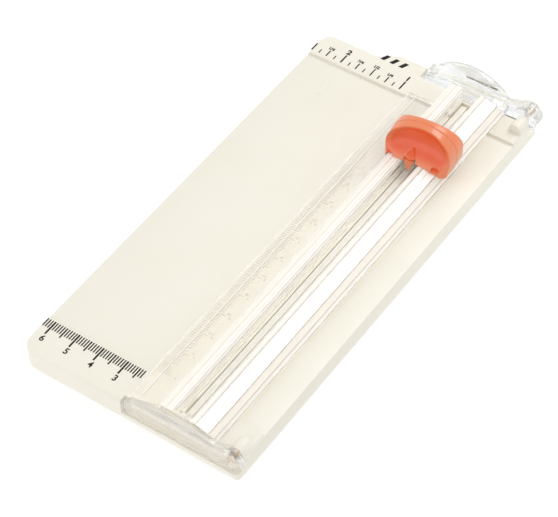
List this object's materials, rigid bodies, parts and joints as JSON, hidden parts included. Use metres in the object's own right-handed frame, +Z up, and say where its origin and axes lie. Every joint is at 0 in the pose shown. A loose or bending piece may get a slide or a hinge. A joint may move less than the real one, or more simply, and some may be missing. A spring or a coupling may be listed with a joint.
{
  "type": "rotary paper trimmer",
  "caption": "Small flat paper trimmer: cream base with a recessed bed, clear hinged rail with a slot, and a sliding knob that carries a round blade.",
  "frame": {"origin": "on the table under the middle of the object's box", "axes": "+X across the base towards the hinge side, +Y along the base towards the end with the arched lift tab, +Z up"},
  "size_m": [0.0892, 0.1842, 0.0282],
  "materials": {
    "cream_plastic": "moulded, fine satin",
    "strip_plastic": "satin",
    "grey_rubber": "matte",
    "steel": "turned",
    "blade_steel": "ground",
    "clear_polystyrene": "clear, polished mould",
    "coral_plastic": "gloss",
    "acetal": "semi-gloss",
    "bronze": "sintered"
  },
  "bodies": {
    "base": {"base_tray": "cream_plastic", "cutting_strip": "strip_plastic", "foot_near_left": "grey_rubber", "foot_near_right": "grey_rubber", "foot_far_left": "grey_rubber", "foot_far_right": "grey_rubber", "hinge_pin_near": "steel", "hinge_pin_far": "steel"},
    "arm": {"clear_rail": "clear_polystyrene", "near_bracket": "clear_polystyrene", "far_bracket": "clear_polystyrene"},
    "carriage": {"knob_shell": "coral_plastic", "slide_shoe": "coral_plastic", "runner_left": "acetal", "runner_right": "acetal", "shoe_screw_left": "steel", "shoe_screw_right": "steel", "spring_left": "steel", "spring_right": "steel"},
    "cradle": {"blade_cradle": "steel", "blade_axle": "steel"},
    "blade": {"rotary_blade": "blade_steel", "blade_bush": "bronze"}
  },
  "joints": [
    {"name": "arm_lift", "type": "hinge", "parent": "base", "child": "arm", "pos_m": [0.0399, 0, 0.0108], "axis": [0, 1, 0], "range_deg": [0, 100]},
    {"name": "carriage_slide", "type": "slide", "parent": "arm", "child": "carriage", "axis": [0, 1, 0], "range_m": [-0.129, 0.024]},
    {"name": "cradle_float", "type": "slide", "parent": "carriage", "child": "cradle", "axis": [0, 0, 1], "range_m": [0, 0.0008], "stiffness_N_per_m": 400, "springref_m": -0.001, "deforming": ["spring_left", "spring_right"]},
    {"name": "blade_spin", "type": "hinge", "parent": "cradle", "child": "blade", "pos_m": [0.0194, 0.0507, 0.0134], "axis": [1, 0, 0], "continuous": true}
  ]
}
